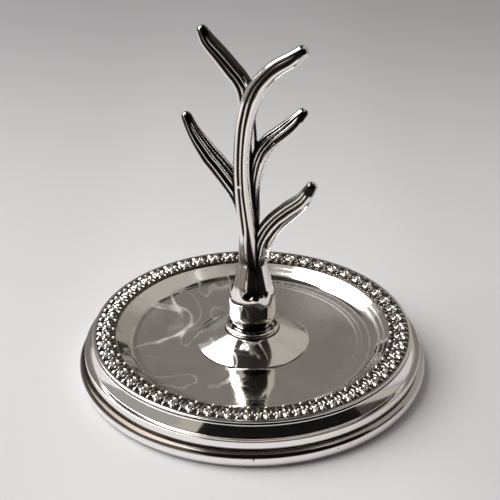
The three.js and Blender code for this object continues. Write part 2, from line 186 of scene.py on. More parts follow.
baize_low, baize_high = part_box("baize_pad")
baize_radius = baize_high.x
baize_thickness = baize_high.z - baize_low.z
shorn_edge = 0.2 * mm
baize = bmesh.new()
bmesh.ops.create_circle(baize, cap_ends=True, segments=180, radius=baize_radius)
lifted = bmesh.ops.extrude_face_region(baize, geom=baize.faces[:])
top_corners = [part for part in lifted["geom"] if isinstance(part, bmesh.types.BMVert)]
bmesh.ops.translate(baize, vec=(0, 0, baize_thickness), verts=top_corners)
rims = [edge for edge in baize.edges
        if abs(edge.verts[0].co.z - edge.verts[1].co.z) < baize_thickness / 2]
bmesh.ops.bevel(baize, geom=rims, offset=shorn_edge, offset_type="OFFSET", segments=3,
                profile=0.5, affect="EDGES", material=-1)
baize_piece = seat("green_baize", baize, green_baize(), "green_baize", "baize_pad")


# The base board: a disc turned from beech, which closes the weighted base from below. Its
# grain runs from left to right, and it shows only as a thin line round the baize.
def dress(node, finish):
    """Gives a solid of the frame its finish, and leaves its shape alone."""
    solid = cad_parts[node]
    solid.data.materials.clear()
    solid.data.materials.append(finish)


def turned_beech():
    wood = Finish("turned_beech")
    growth = wood.grain(28.0, 3.0, 0.55, wood.stretched((1.0, 14.0, 14.0)), 0.6)
    flecks = wood.grain(260.0, 2.0, 0.6, wood.stretched((1.0, 7.0, 7.0)))
    colour = wood.mixed(growth, (0.180, 0.090, 0.042, 1.0), (0.400, 0.230, 0.120, 1.0))
    flecked = wood.mixed(wood.band(flecks, 0.58, 0.7, 0.0, 0.55), colour,
                         (0.120, 0.060, 0.030, 1.0))
    return wood.shade({
        "Base Color": flecked, "Roughness": 0.55 + 0.25 * growth,
        "Normal": wood.raised(flecks, 0.05 * mm)})


dress("base_board", turned_beech())


# The filling: pitch and plaster, melted and poured under the dish to give the base its
# weight, with a pocket left round the nut.
def poured_pitch():
    pitch = Finish("poured_pitch")
    grit = pitch.grain(900.0, 4.0, 0.65)
    colour = pitch.mixed(grit, (0.012, 0.009, 0.007, 1.0), (0.075, 0.055, 0.040, 1.0))
    return pitch.shade({
        "Base Color": colour, "Roughness": 0.6 + 0.3 * grit,
        "Normal": pitch.raised(grit, 0.3 * mm)})


dress("base_filling", poured_pitch())


# The foot: a band of sheet silver, spun out and curled under, that stands on the table and
# takes the edge of the skirt. Its underside is open, and its face is pitted by long use.
spin_steps = 240
touching = 0.0005 * mm


def spun(corners, longest=0.3 * mm):
    """A ring spun from its outline's corners, each given as (radius, height, rounding)."""
    bm = bmesh.new()
    points = [bm.verts.new((radius, 0.0, height)) for radius, height, _ in corners]
    for here, after in zip(points, points[1:] + points[:1]):
        bm.edges.new((here, after))
    for point, (_, _, rounding) in zip(points, corners):
        if rounding > 0:
            bmesh.ops.bevel(bm, geom=[point], offset=rounding, offset_type="OFFSET", segments=6,
                            profile=0.5, affect="VERTICES", material=-1)
    for edge in bm.edges[:]:
        cuts = math.ceil(edge.calc_length() / longest) - 1
        if cuts > 0:
            bmesh.ops.subdivide_edges(bm, edges=[edge], cuts=cuts)
    bmesh.ops.spin(bm, geom=bm.verts[:] + bm.edges[:], cent=(0, 0, 0), axis=(0, 0, 1),
                   dvec=(0, 0, 0), angle=math.tau, steps=spin_steps, use_merge=True,
                   use_normal_flip=False, use_duplicate=False)
    bmesh.ops.remove_doubles(bm, verts=bm.verts, dist=touching)
    return bm


def bow(centre_radius, centre_height, radius, start, end, steps):
    """Corners along a bow of an outline, from one angle in degrees to another."""
    corners = []
    for step in range(steps + 1):
        angle = math.radians(start + (end - start) * step / steps)
        corners.append((centre_radius + radius * math.cos(angle),
                        centre_height + radius * math.sin(angle), 0.0))
    return corners


def stain_and_shade(bm, depth_at):
    """Stores how dark each point is, from 0 on the open face to 1, for oxide and painted shade."""
    layer = bm.verts.layers.float.new("oxide_and_painted_shade")
    for point in bm.verts:
        point[layer] = depth_at(point.co)


def clean_silver(name, shine=0.05, toning=0.35, pits=0.0, turning=0.0, waviness=1.0, wear=None,
                 bright=(0.985, 0.960, 0.940)):
    """Polished silver: a little toned, black in its recesses and where shade is painted, wavy and
    lightly scratched.
    """
    # The brown and the black colour oxide and polish in real hollows, and painted shade as well.
    polish_and_shade_brown = (0.175, 0.140, 0.112, 1.0)
    oxide = (0.014, 0.013, 0.013, 1.0)
    pit_dirt = (0.070, 0.050, 0.038, 1.0)
    toned = [part * share for part, share in zip(bright, (0.84, 0.80, 0.75))]
    silver = Finish(name)
    oxide_and_painted_shade = silver.node("ShaderNodeAttribute", {"attribute_name": "oxide_and_painted_shade"}, output="Fac")
    patches = silver.grain(75.0, 3.0, 0.6, warp=0.8)
    scratches = silver.grain(700.0, 2.0, 0.7, silver.stretched((1.0, 0.12, 1.0)), 2.0)
    tone = silver.band(patches, 0.45, 0.72, 0.0, toning)
    colour = silver.mixed(tone, (*bright, 1.0), (*toned, 1.0))
    colour = silver.mixed(silver.band(oxide_and_painted_shade, 0.10, 0.55), colour, polish_and_shade_brown)
    colour = silver.mixed(silver.band(oxide_and_painted_shade, 0.32, 0.72), colour, oxide)
    roughness = shine + 0.04 * patches + silver.band(scratches, 0.64, 0.76, 0.0, 0.05)
    roughness = roughness + silver.band(oxide_and_painted_shade, 0.2, 0.9, 0.0, 0.25)
    relief = silver.raised(silver.grain(110.0, 1.0, 0.4), 0.05 * mm * waviness)
    if turning > 0:
        rings = silver.turned_lines(1400.0, 3.0)
        relief = silver.raised(rings, turning * mm, relief)
        roughness = roughness + silver.band(rings, 0.55, 0.75, 0.0, 0.05)
    if pits > 0:
        hollows = silver.band(silver.grain(900.0, 2.0, 0.6), 0.70, 0.76, 0.0, pits)
        colour = silver.mixed(hollows, colour, pit_dirt)
    if wear:
        roughness = roughness + wear(silver)
    return silver.shade({
        "Base Color": colour, "Metallic": 1.0, "Roughness": roughness, "Normal": relief})


foot_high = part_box("foot_ring")[1]
foot_roll = foot_high.z / 2
foot_centre = foot_high.x - foot_roll
foot_wall = 0.7 * mm
foot_curl = 106.0
shoulder_end = 1.0
shoulder_steps = 24
squareness = 2.8
shoulder = []
for step in range(shoulder_steps + 1):
    angle = math.radians(foot_curl - (foot_curl - shoulder_end) * step / shoulder_steps)
    outward, upward = math.cos(angle), math.sin(angle)
    bulge = (abs(outward) ** squareness + abs(upward) ** squareness) ** (-1 / squareness)
    shoulder.append((foot_centre + foot_roll * bulge * outward,
                     foot_roll * (1 + min(1.0, bulge * upward)), 0.0))
foot = spun(shoulder + bow(foot_centre, foot_roll, foot_roll, 0.0, -foot_curl, 22)
            + bow(foot_centre, foot_roll, foot_roll - foot_wall, -foot_curl, foot_curl, 24))


def foot_painted_shade(co):
    """Painted shade: dark under the skirt's lip, and brown down the shoulder, a little more on the
    left.
    """
    rightward = co.x / foot_high.x
    from_centre = abs(math.hypot(co.x, co.y) - foot_centre)
    shade_under_lip = 0.9 - from_centre / (0.5 * mm) if co.z > 1.9 * foot_roll else 0.0
    shade_down_shoulder = (co.z - (1.36 + 0.08 * rightward) * foot_roll) / (0.6 * mm)
    return max(shade_under_lip, min(0.40 - 0.11 * rightward, shade_down_shoulder), 0.0)


stain_and_shade(foot, foot_painted_shade)
seat("foot_ring_spun", foot, clean_silver("foot_silver", toning=0.15, pits=0.9, turning=0.004),
     "polished_silver", "foot_ring")


# The skirt: one sheet spun into a lip, a band that stands over the foot, and a shallow
# hollow that rises to the rim. Painted shade darkens the lines between them and under the rim.
skirt_low, skirt_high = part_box("skirt")
gauge = 0.7 * mm
line_width = 0.16 * mm
band_outer = skirt_high.x
band_inner = band_outer - 1.5 * mm
band_top = skirt_low.z + 2.4 * mm
band_bottom = skirt_low.z + 0.45 * mm
lip_outer = band_outer - 0.5 * mm
waist = band_outer - 3.0 * mm
shelf_inner = waist - 2.2 * mm
hollow_bend = 0.06 * mm
hollow_steps = 8
hollow = []
for step in range(hollow_steps + 1):
    share = step / hollow_steps
    bend = hollow_bend * 4 * share * (1 - share)
    hollow.append((band_inner + (waist - band_inner) * share - bend,
                   band_top + (skirt_high.z - band_top) * share, 0.09 * mm if step == 0 else 0.0))
skirt = spun(
    [(lip_outer - 0.1 * mm, skirt_low.z, 0.0),
     (lip_outer, skirt_low.z + 0.1 * mm, 0.05 * mm),
     (lip_outer, band_bottom - 0.12 * mm, 0.08 * mm),
     (lip_outer - 0.25 * mm, band_bottom - 0.05 * mm, 0.0),
     (lip_outer - 0.1 * mm, band_bottom + 0.05 * mm, 0.0),
     (band_outer - 0.1 * mm, band_bottom, 0.3 * mm),
     (band_outer, (band_top + band_bottom) / 2 - 0.1 * mm, 0.5 * mm),
     (band_outer - 0.14 * mm, band_top, 0.10 * mm)]
    + hollow
    + [(shelf_inner, skirt_high.z, 0.0),
       (shelf_inner, skirt_high.z - gauge, 0.0),
       (waist - gauge, skirt_high.z - gauge, 0.0),
       (band_inner - gauge, band_top, 0.0),
       (band_inner - gauge, skirt_low.z, 0.0)])


def skirt_painted_shade(co):
    # Painted shade in the lines under and over the band, and under the rim.
    shade_under_band = 1.0 - abs(co.z - (band_bottom - 0.02 * mm)) / line_width
    shade_over_band = 0.7 - abs(co.z - (band_top + line_width)) / line_width
    shade_under_rim = 1.0 - (skirt_high.z - co.z) / (0.35 * mm)
    return max(shade_under_band, shade_over_band, shade_under_rim, 0.0)


stain_and_shade(skirt, skirt_painted_shade)
seat("skirt_spun", skirt, clean_silver("skirt_silver", toning=0.15, pits=0.5, turning=0.003),
     "polished_silver", "skirt")


# The dish: spun from one sheet over a wooden former, with a boss raised in its middle, a
# flat floor, a hollow slope and a flange that the border is soldered to. Smears of polish lie
# on the left of its floor, and the lines of the spinning tool show on the right.
dish_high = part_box("dish")[1]
border_low, border_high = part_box("gallery_border")
collar_low, collar_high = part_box("collar")
seam = 0.1 * mm
bore = 1.75 * mm
border_width = 5.9 * mm
slope_width = 5.2 * mm
slope_bend = 0.42
slope_steps = 30
boss_rise = 3.6 * mm
boss_outer = 14.7 * mm
boss_steps = 24
boss_landing = collar_high.x + seam
flange_top = border_low.z - seam
floor_level = dish_high.z - boss_rise
border_inner = border_high.x - border_width
floor_outer = border_inner - slope_width
face = [(bore, dish_high.z, 0.0), (boss_landing, dish_high.z, 0.15 * mm)]
for step in range(1, boss_steps + 1):
    left = 1 - step / boss_steps
    face.append((boss_outer - (boss_outer - boss_landing) * left,
                 floor_level + boss_rise * (1.15 * left - 0.15 * left ** 2),
                 0.6 * mm if step == boss_steps else 0.0))
for step in range(slope_steps + 1):
    share = step / slope_steps
    climb = share ** 2 / (2 * slope_bend) if share < slope_bend else share - slope_bend / 2
    climb_share = climb / (1 - slope_bend / 2)
    face.append((floor_outer + slope_width * share,
                 floor_level + (flange_top - floor_level) * climb_share, 0.0))
face.append((dish_high.x, flange_top, 0.0))
underside = [(radius, height - gauge, 0.0) for radius, height, _ in reversed(face)]
dish = spun(face + underside, 0.35 * mm)


def risen(value, start, end):
    """How far a value has come from start to end, held between 0 and 1."""
    return min(1.0, max(0.0, (value - start) / (end - start)))


def dish_painted_shade(co):
    """Brown painted shade round the collar, in the floor's crease and up the slope."""
    radius = math.hypot(co.x, co.y)
    leftward = risen(co.x, 4 * mm, -16 * mm)
    front_start = 24 * mm * leftward
    # Painted shade up the slope, reaching further round on the left.
    shade_up_slope = risen(radius, floor_outer + 0.2 * mm, floor_outer + 1.6 * mm)
    shade_up_slope *= (0.35 - 0.05 * leftward) * risen(co.y, front_start, front_start - 16 * mm)
    shade_by_collar = 0.5 - (radius - boss_landing) / (0.8 * mm)
    shade_in_crease = 0.28 * leftward - abs(radius - floor_outer - 0.3 * mm) / (5.0 * mm)
    return max(shade_by_collar, shade_up_slope, shade_in_crease, 0.0)


def dish_wear(silver):
    """How much rougher the dish is where it is smeared, hazy, unpolished or tooled."""
    side = silver.along("X")
    back = silver.along("Y")
    radius = silver.radius()
    on_left = silver.band(side, 4 * mm, -14 * mm)
    drift = silver.grain(60.0, 1.0, 0.4, warp=1.2)
    smears = silver.band(abs(drift - 0.52), 0.035, 0.004) * on_left
    smudges = silver.band(silver.grain(42.0, 3.0, 0.55, warp=1.0), 0.50, 0.68) * on_left
    unreached = silver.band(radius, 14.5 * mm, 9 * mm) * silver.band(back, -3 * mm, 4 * mm)
    haze = silver.band(side, 2 * mm, 18 * mm) * silver.band(back, -6 * mm, 16 * mm)
    haze = haze * silver.band(radius, 31.5 * mm, 28.5 * mm)
    tooled = silver.band(silver.turned_lines(900.0, 1.0), 0.56, 0.62)
    tooled = tooled * silver.band(radius, 24 * mm, 27.5 * mm) * silver.band(side, -6 * mm, 12 * mm)
    return 0.286 * smears + 0.26 * smudges + 0.28 * unreached + 0.30 * haze + 0.21 * tooled


stain_and_shade(dish, dish_painted_shade)
seat("dish_spun", dish,
     clean_silver("dish_silver", toning=0.5, turning=0.002, waviness=1.4, wear=dish_wear),
     "polished_silver", "dish")


# The rim wire: a round silver wire, bent to a ring and soldered into the corner under the
# edge of the border, where it shows as one bright line.
wire_low, wire_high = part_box("rim_wire")
wire_radius = (wire_high.z - wire_low.z) / 2
wire_middle = (wire_high.z + wire_low.z) / 2
rim_wire = spun(bow(wire_high.x - wire_radius, wire_middle, wire_radius, 0.0, 345.0, 23))
# The wire's top, under the border's edge, is darkened as painted shade.
stain_and_shade(rim_wire, lambda co: max(0.0, 1.0 - (wire_high.z - co.z) / (0.2 * mm)))
seat("rim_wire_drawn", rim_wire, clean_silver("rim_wire_silver"), "polished_silver", "rim_wire")


# The border: a strip cast in sand with pips in arches, two-lobed leaves and small darts,
# chased, bent to a ring and soldered on the dish. The ground between them is blackened.
motif_count = 54
motif_columns = 30
relief_rows = 42
border_outer = border_high.x
plain_margin = 0.7 * mm
relief_width = border_width - plain_margin
border_face = border_low.z + 0.5 * mm
inner_edge = border_face - 0.25 * mm
scallop_depth = 0.30 * mm
margin_corners = [
    (border_outer - plain_margin, border_face),
    (border_outer - 0.12 * mm, border_face - 0.01 * mm),
    (border_outer, border_face - 0.13 * mm),
    (border_outer, border_low.z),
    (border_inner + 0.2 * mm, border_low.z)]
section_rows = relief_rows + len(margin_corners)


def bump(height, half_across, half_out, across, out=0.0):
    """How high a rounded bump stands in millimetres, at a place counted from its middle."""
    return height * math.sqrt(max(0.0, 1.0 - (across / half_across) ** 2 - (out / half_out) ** 2))


def motif_height(across, out):
    """The relief in millimetres, across the motif and out from the border's inner edge."""
    side = abs(across)
    ring = math.hypot(across, out - 2.65)
    pip = bump(0.42, 0.55, 0.55, across, out - 2.65)
    collet = bump(0.40, 0.26, 1.0, ring - 1.10)
    lobe_side, lobe_out = side - 0.92, out - 4.05
    lobe = bump(0.56, 1.05, 0.56, 0.50 * lobe_side + 0.87 * lobe_out,
                0.87 * lobe_side - 0.50 * lobe_out)
    leaflet = bump(0.27, 0.28, 0.50, side - 1.62, out - 3.1)
    half_motif = math.tau * (border_inner / mm + out) / motif_count / 2
    dart = bump(0.34, 0.24, 0.90, side - half_motif, out - 2.0)
    bead = bump(0.44, 0.40, 0.40, across - 1.20, out - 0.52)
    stem = bump(0.20, 0.20, 1.0, side - 0.80) if 0.5 < out < 1.7 else 0.0
    moat = 0.20 if 0.5 < ring < 0.85 else 0.0
    ground = -0.08 - 0.24 * risen(out, 3.3, 3.7) * risen(side, 1.0, 1.5) - moat
    return max(ground, pip, collet, lobe, leaflet, dart, bead, stem)


def rolled(around, along, place):
    """A sheet rolled up both ways: place gives the spot for each share around and along."""
    bm = bmesh.new()
    bmesh.ops.create_grid(bm, x_segments=around, y_segments=along, size=0.5)
    for point in bm.verts:
        point.co = place(point.co.x + 0.5, point.co.y + 0.5)
    bmesh.ops.remove_doubles(bm, verts=bm.verts, dist=touching)
    return bm


def border_place(around, along):
    """A spot on the border: its section starts at the inner edge and goes over the face."""
    turn = math.tau * around
    motif_share = (around * motif_count) % 1.0 - 0.5
    scallop = scallop_depth * (0.5 - 0.5 * math.cos(math.tau * (motif_share * 2 + 0.5)))
    row = round(along * section_rows) % section_rows
    if row == 0:
        radius, height = border_inner + scallop, inner_edge
    elif row < relief_rows:
        out = relief_width * row / (relief_rows - 1)
        across = motif_share * math.tau * (border_inner + out) / motif_count
        radius = border_inner + out + scallop * (1 - out / relief_width) ** 3
        height = border_face + motif_height(across / mm, out / mm) * mm
    else:
        radius, height = margin_corners[row - relief_rows]
    return Vector((radius * math.sin(turn), -radius * math.cos(turn), height))


border = rolled(motif_count * motif_columns, section_rows, border_place)


def border_oxide_and_shade(co):
    """Black in the ground, and painted shade on the inner half in front and the outer half behind.
    """
    out = math.hypot(co.x, co.y) - border_inner
    if out > relief_width - 0.1 * mm:
        return 0.0
    # Painted shade dims the inner half in front and the outer half behind.
    nearness = risen(co.y, 20 * mm, -20 * mm)
    dimmed = 0.34 * nearness if 0.7 * mm < out < 3.2 * mm else 0.30 * (1 - nearness)
    return min(0.48, max(dimmed, 0.54 - (co.z - border_face) / (0.62 * mm)))


stain_and_shade(border, border_oxide_and_shade)
seat("gallery_border_cast", border,
     clean_silver("border_silver", shine=0.12, toning=0.5, bright=(0.91, 0.89, 0.86)),
     "oxidised_silver", "gallery_border")


# The stud, its washer and nut: brass, turned and drilled. They draw the tree down on the
# boss from below, and none of them shows once the base is closed.
def bright_brass():
    brass = Finish("bright_brass")
    patches = brass.grain(400.0, 3.0)
    colour = brass.mixed(patches, (0.520, 0.370, 0.150, 1.0), (0.720, 0.560, 0.270, 1.0))
    return brass.shade({
        "Base Color": colour, "Metallic": 1.0, "Roughness": 0.25 + 0.2 * patches,
        "Normal": brass.raised(patches, 0.01 * mm)})


brass_finish = bright_brass()
for node in ("stem_stud", "stud_washer", "stud_nut"):
    dress(node, brass_finish)


# The collar: a small flared ring between the boss and the tree, with a bead at its top and
# a wide lip below. The line between the two holds brown polish.
ring_outer = collar_high.x
collar_rise = collar_high.z - collar_low.z
crevice = ring_outer - 1.25 * mm
collar = spun(
    [(bore, collar_low.z, 0.0),
     (ring_outer - 0.45 * mm, collar_low.z, 0.0),
     (ring_outer - 0.02 * mm, collar_low.z + 0.10 * mm, 0.12 * mm),
     (ring_outer, collar_low.z + 0.60 * collar_rise, 0.50 * mm),
     (crevice, collar_low.z + 0.74 * collar_rise, 0.12 * mm),
     (crevice + 0.40 * mm, collar_high.z - 0.1 * mm, 0.12 * mm),
     (crevice, collar_high.z, 0.10 * mm),
     (bore, collar_high.z, 0.0)], 0.15 * mm)


def collar_recess(co):
    """Mottled in the line between the lip and the bead, and dark where the lip meets the boss."""
    height = co.z - collar_low.z
    away = math.hypot(math.hypot(co.x, co.y) - crevice, height - 0.84 * collar_rise)
    mottled = 0.62 + 0.7 * noise.noise(co * 700)
    return max(mottled - 0.5 * away / (0.8 * mm), 0.6 - height / (0.2 * mm), 0.0)


stain_and_shade(collar, collar_recess)
seat("collar_turned", collar, clean_silver("collar_silver", toning=0.8), "polished_silver",
     "collar")


# The root: cast solid, smooth and a little dented where it swells, with three blackened
# hollows that run up between the feet of the arms. It stands in the collar.
knop_low, knop_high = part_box("root_knop")
neck = 3.5 * mm
swell = knop_high.x - neck
knop_rise = knop_high.z - knop_low.z
knop_closing = 0.04
hollow_depth = 0.45 * mm
dent_depth = 0.30 * mm
knop_shares = [(0.0, 0.70), (0.06, 0.83), (0.13, 0.915), (0.20, 0.945), (0.31, 0.96), (0.38, 0.95),
               (0.44, 0.90), (0.50, 0.81), (0.57, 0.68), (0.64, 0.55), (0.78, 0.33), (0.90, 0.14),
               (0.96, 0.0), (1.0, -0.34)]


def eased(shares, at):
    """The value between the rows of a table, on a smooth curve through them."""
    for index, (after, value_after) in enumerate(shares):
        if at <= after:
            break
    if index == 0:
        return shares[0][1]
    before, value_before = shares[index - 1]
    run = after - before

    def slope(row):
        low, high = shares[max(row - 1, 0)], shares[min(row + 1, len(shares) - 1)]
        return (high[1] - low[1]) / (high[0] - low[0])

    part = min(1.0, (at - before) / run)
    return ((2 * part ** 3 - 3 * part ** 2 + 1) * value_before
            + (part ** 3 - 2 * part ** 2 + part) * run * slope(index - 1)
            + (3 * part ** 2 - 2 * part ** 3) * value_after
            + (part ** 3 - part ** 2) * run * slope(index))


def groove(degrees, middle, half):
    """How deep a groove is at a turn round the section, as a share that falls off smoothly."""
    away = (degrees - middle + 180) % 360 - 180
    return math.exp(-1.3 * (away / half) ** 2)


def knop_hollow(degrees, height_share):
    """The hollows between the arms' feet, which widen and end raggedly over the swell."""
    deepest = 0.0
    for turn in range(3):
        away = (degrees - 120 * turn + 180) % 360 - 180
        ragged = 2 * noise.noise(Vector((away / 9, turn * 3.1, 0.4)))
        start = 0.515 + 0.03 * ragged - 0.055 * math.exp(-((away + 13) / 7) ** 2)
        right = 57 - 14 * height_share
        left = -18 - 12 * max(0.0, 1 - abs(height_share - 0.52) / 0.07)
        inward = risen(away, left, left + 5) * risen(away, right, right - 7)
        deepest = max(deepest, risen(height_share, start, start + 0.035) * inward)
    return deepest


def knop_place(around, along):
    """A spot on the root: its first and last rows close it below and above."""
    angle = math.tau * around
    height_share = risen(along, knop_closing, 1 - knop_closing)
    closing = min(1.0, along / knop_closing, (1.0 - along) / knop_closing)
    sway = noise.noise(Vector((math.sin(angle) * 1.6, math.cos(angle) * 1.6, 7.0)))
    level = height_share + 0.06 * sway * math.sin(math.pi * height_share)
    radius = neck + swell * eased(knop_shares, level)
    radius -= hollow_depth * knop_hollow(360 * around, height_share)
    dents = noise.noise(Vector((math.sin(angle) * 2.0, math.cos(angle) * 2.0, height_share * 4)))
    radius += dent_depth * min(0.2, dents) * min(1.0, height_share * 6)
    radius = min(radius, knop_high.x) * closing
    return Vector((radius * math.sin(angle), -radius * math.cos(angle),
                   knop_low.z + knop_rise * height_share))


knop = rolled(144, 120, knop_place)


def knop_oxide_and_shade(co):
    """Black in the hollows, painted shade at both sides of the neck, and brown painted shade just
    over the collar in front.
    """
    degrees = math.degrees(math.atan2(co.x, -co.y))
    height = co.z - knop_low.z
    height_share = height / knop_rise
    streaks = 0.5 + noise.noise(Vector((degrees / 3.5, height_share * 1.5, 2.0)))
    # Painted shade, streaked, on both sides of the neck.
    dimmed = min(0.46, max(0.0, (height_share - 0.55) * 6.0)) * min(1.0, 0.70 + 0.5 * streaks)
    dimmed *= max(risen(degrees, -14, -22), min(0.55, risen(degrees, 50, 70)))
    # Brown painted shade just over the collar, on the front.
    facing = risen(degrees, -30, -22) * risen(degrees, 44, 36)
    shade_over_collar = min(0.60, max(0.0, (0.15 - height_share) * 12)) * facing
    return max(0.8 - height / (0.35 * mm), dimmed, shade_over_collar,
               (0.60 + 0.5 * streaks) * knop_hollow(degrees, height_share), 0.0)


stain_and_shade(knop, knop_oxide_and_shade)
seat("root_knop_cast", knop, clean_silver("root_silver", toning=0.3, waviness=2.6),
     "oxidised_silver", "root_knop")


# The arms: five cast twigs with round reeds and broad blackened furrows between them, bent
# to shape and soldered into the root and to each other. Oxide and painted shade fill the clefts
# they form.

# The tip's place, from the middle of the neck's top, and the thickness are in millimetres. A row
# of the route holds shares of the tip's x, y and z and of the thickness. A row of a furrow holds
# a distance from the tip in millimetres, then the furrow's middle and half width in degrees,
# counted from the front round to the right. The back furrows have only their middles. The cap is
# the black on the tip: its middle, half width, length and how fast it fades over the end. Oxide
# is how black the furrows are. The solder is a drop in a furrow: its distance from the tip,
# middle and half width. A darkened face has the turns it lies between and how dark it is: on the
# upper left arm it is tarnish, on the middle right arm painted shade that dims a reflection.
neck_top = knop_high.z
upper_right = {
    "name": "upper_right_arm", "tip": (11.3, -5.0, 55.6), "thickness": 4.7,
    "route": [
        (-0.030, 0.10, -0.120, 0.60), (-0.043, 0.27, -0.037, 0.92), (-0.078, 0.34, 0.064, 0.91),
        (-0.108, 0.36, 0.160, 0.89), (-0.152, 0.36, 0.249, 0.91), (-0.204, 0.36, 0.360, 0.89),
        (-0.225, 0.36, 0.487, 0.89), (-0.172, 0.36, 0.635, 0.98), (-0.068, 0.38, 0.736, 1.00),
        (0.018, 0.40, 0.790, 1.00), (0.132, 0.44, 0.836, 0.96), (0.333, 0.54, 0.887, 0.93),
        (0.532, 0.66, 0.925, 0.91), (0.783, 0.84, 0.962, 0.84), (1.0, 1.0, 1.0, 0.70)],
    "furrows": [
        [(0, -38, 14), (2, -42, 11), (8, -42, 12), (15, -40, 12), (20, -38, 13), (27, -32, 14),
         (38, -31, 14), (45, -33, 13), (52, -34, 12), (54, -34, 2), (70, -34, 2)],
        [(0, -14, 22), (2, -10, 22), (5, -9, 21), (9, -12, 18), (15, -9, 15), (20, -5, 13),
         (27, -1, 9), (35, 0, 9), (42, -2, 10), (50, 3, 10), (53, 4, 16), (57, 5, 27),
         (61, 10, 35), (70, 10, 35)],
        [(0, 84, 2), (16, 84, 2), (20, 80, 22), (25, 80, 24), (30, 86, 22), (40, 88, 20),
         (50, 84, 18), (54, 88, 2), (70, 88, 2)]],
    "cap": (-20, 38, 1.5, 1), "oxide": 1.02, "solder": (39.8, -30, 20),
    "back_furrows": (128, 170, 212, 248)}
lower_right = {
    "name": "lower_right_arm", "tip": (14.1, -6.6, 22.5), "thickness": 5.5,
    "route": [
        (0.062, 0.045, -0.164, 0.80), (0.117, 0.060, 0.037, 0.95), (0.172, 0.090, 0.219, 0.98),
        (0.302, 0.182, 0.392, 1.00), (0.451, 0.333, 0.528, 0.94), (0.639, 0.545, 0.665, 0.90),
        (0.846, 0.818, 0.818, 0.77), (1.0, 1.0, 1.0, 0.54)],
    "furrows": [
        [(0, -74, 10), (5, -80, 10), (20, -82, 10), (40, -84, 10)],
        [(0, -37, 12), (3, -38, 10), (6, -41, 8), (12, -41, 7), (20, -38, 9), (40, -38, 9)],
        [(0, 0, 16), (3, -4, 15), (6, -9, 15), (10, -13, 15), (16, -13, 11), (22, -10, 8),
         (40, -9, 8)]],
    "cap": (-14, 56, 1.7, 0.4), "oxide": 0.75,
    "back_furrows": (142, 178, 218, 252)}
upper_left = {
    "name": "upper_left_arm", "tip": (-11.7, 5.9, 57.1), "thickness": 4.8,
    "route": [
        (0.060, 0.120, -0.063, 1.16), (0.066, 0.150, 0.067, 1.08), (0.050, 0.200, 0.135, 0.98),
        (0.017, 0.271, 0.206, 0.88), (0.034, 0.288, 0.320, 0.88), (0.043, 0.288, 0.445, 0.86),
        (0.086, 0.288, 0.592, 0.83), (0.130, 0.305, 0.707, 0.84), (0.161, 0.339, 0.769, 0.95),
        (0.259, 0.424, 0.812, 0.95), (0.448, 0.576, 0.857, 0.93), (0.694, 0.780, 0.915, 0.87),
        (0.892, 0.915, 0.960, 0.79), (1.0, 1.0, 1.0, 0.60)],
    "furrows": [
        [(0, -34, 17), (4, -32, 18), (7, -30, 20), (10, -28, 20), (14, -30, 19), (20, -34, 15),
         (48, -34, 15), (51, -34, 2), (70, -34, 2)],
        [(0, 0, 12), (4, 1, 12), (8, 5, 12), (11, 8, 12), (16, 6, 11), (30, 6, 11)]],
    "cap": (24, 52, 1.4, 3), "darkened_face": (36, 100, 0.56),
    "back_furrows": (132, 170, 205, 240)}
middle_right = {
    "name": "middle_right_arm", "tip": (12.1, 5.2, 36.5), "thickness": 4.9,
    "route": [
        (0.024, 0.173, 0.388, 0.57), (0.041, 0.173, 0.554, 0.65), (0.107, 0.212, 0.687, 0.91),
        (0.203, 0.288, 0.771, 1.00), (0.364, 0.423, 0.833, 1.00), (0.551, 0.577, 0.875, 0.96),
        (0.785, 0.808, 0.929, 0.84), (1.0, 1.0, 1.0, 0.60)],
    "furrows": [
        [(0, -32, 13), (4, -37, 9), (9, -35, 8), (12, -29, 7), (16, -26, 8), (30, -26, 9)],
        [(0, -1, 18), (3, -5, 15), (8, -8, 12), (12, -4, 10), (16, 0, 10), (30, 4, 11)],
        [(0, 74, 2), (17, 74, 2), (21, 56, 9), (30, 50, 16)],
        [(0, -63, 5), (12, -60, 6), (30, -60, 6)]],
    "cap": (6, 32, 1.8, 1), "oxide": 0.72, "darkened_face": (-115, -44, 0.30),
    "back_furrows": (135, 172, 210, 245)}
middle_left = {
    "name": "middle_left_arm", "tip": (-15.8, 4.0, 36.3), "thickness": 5.3,
    "route": [
        (0.076, 0.200, 0.170, 0.71), (0.095, 0.150, 0.291, 0.83), (0.137, 0.125, 0.403, 0.96),
        (0.265, 0.175, 0.528, 1.00), (0.528, 0.425, 0.679, 1.00), (0.688, 0.600, 0.761, 0.93),
        (0.903, 0.875, 0.907, 0.66), (1.0, 1.0, 1.0, 0.50)],
    "furrows": [
        [(0, -40, 20), (5, -43, 17), (10, -34, 18), (15, -37, 18), (21, -42, 17), (40, -42, 17)],
        [(0, -2, 16), (5, -3, 15), (10, 3, 12), (15, 1, 12), (21, -3, 12), (40, -3, 12)],
        [(0, 40, 9), (5, 38, 9), (10, 39, 8), (15, 36, 9), (40, 36, 9)],
        [(0, 64, 13), (5, 64, 13), (40, 64, 13)]],
    "cap": (26, 54, 1.4, 3),
    "back_furrows": (98, 134, 170, 206, 242, 282)}
arms = (upper_right, lower_right, upper_left, middle_right, middle_left)
stations = 170
cap_rows = 14
reed_depth = 0.19
back_furrow_half = 12
tip_rounding = 1.3 * mm
cleft_reach = 0.75 * mm
common_oxide = 1.15
no_solder = (-9, 0, 1)
no_darkened_face = (200, 200, 0)


